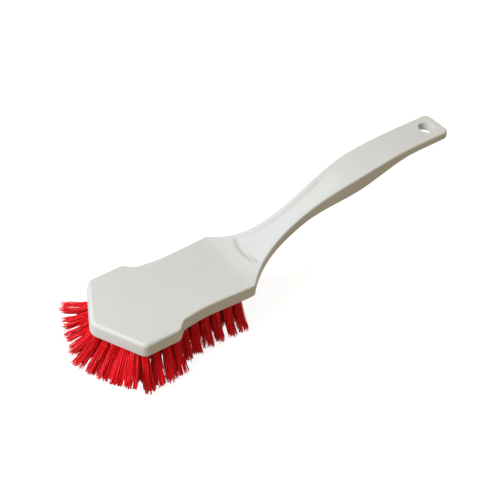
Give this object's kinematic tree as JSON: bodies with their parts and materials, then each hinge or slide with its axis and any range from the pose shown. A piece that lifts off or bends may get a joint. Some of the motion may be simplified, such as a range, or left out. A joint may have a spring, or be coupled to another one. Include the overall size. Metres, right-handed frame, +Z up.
{
  "type": "grout brush",
  "caption": "One-piece moulded hand brush with a pointed head, splayed stiff bristles and a raised handle with a hanging hole, for scrubbing tile joints.",
  "frame": {"origin": "middle of the bounding box on the floor plane, where the longest bristles are cut off flat", "axes": "+X from the pointed nose towards the end of the handle, +Y towards the right-hand side for a user who holds the handle and points the nose away, +Z up, away from the bristle tips"},
  "size_m": [0.2848, 0.0804, 0.0792],
  "materials": {
    "moulding": "satin white moulding, finely textured on the grip",
    "bristles": "red filament",
    "anchors": "plain flat wire"
  },
  "bodies": {
    "root": {"handle_block": "moulding", "tufts_outer_right_1": "bristles", "tufts_outer_right_2": "bristles", "tufts_outer_right_3": "bristles", "tufts_outer_right_4": "bristles", "tufts_outer_right_5": "bristles", "tufts_outer_right_6": "bristles", "tufts_outer_right_7": "bristles", "tufts_outer_left_1": "bristles", "tufts_outer_left_2": "bristles", "tufts_outer_left_3": "bristles", "tufts_outer_left_4": "bristles", "tufts_outer_left_5": "bristles", "tufts_outer_left_6": "bristles", "tufts_outer_left_7": "bristles", "tufts_middle_right_1": "bristles", "tufts_middle_right_2": "bristles", "tufts_middle_right_3": "bristles", "tufts_middle_right_4": "bristles", "tufts_middle_right_5": "bristles", "tufts_middle_right_6": "bristles", "tufts_middle_left_1": "bristles", "tufts_middle_left_2": "bristles", "tufts_middle_left_3": "bristles", "tufts_middle_left_4": "bristles", "tufts_middle_left_5": "bristles", "tufts_middle_left_6": "bristles", "tufts_inner_right_1": "bristles", "tufts_inner_right_2": "bristles", "tufts_inner_right_3": "bristles", "tufts_inner_right_4": "bristles", "tufts_inner_right_5": "bristles", "tufts_inner_left_1": "bristles", "tufts_inner_left_2": "bristles", "tufts_inner_left_3": "bristles", "tufts_inner_left_4": "bristles", "tufts_inner_left_5": "bristles", "tufts_centre_1": "bristles", "tufts_centre_2": "bristles", "tufts_centre_3": "bristles", "anchors_outer_right": "anchors", "anchors_outer_left": "anchors", "anchors_middle_right": "anchors", "anchors_middle_left": "anchors", "anchors_inner_right": "anchors", "anchors_inner_left": "anchors", "anchors_centre": "anchors"}
  },
  "joints": []
}
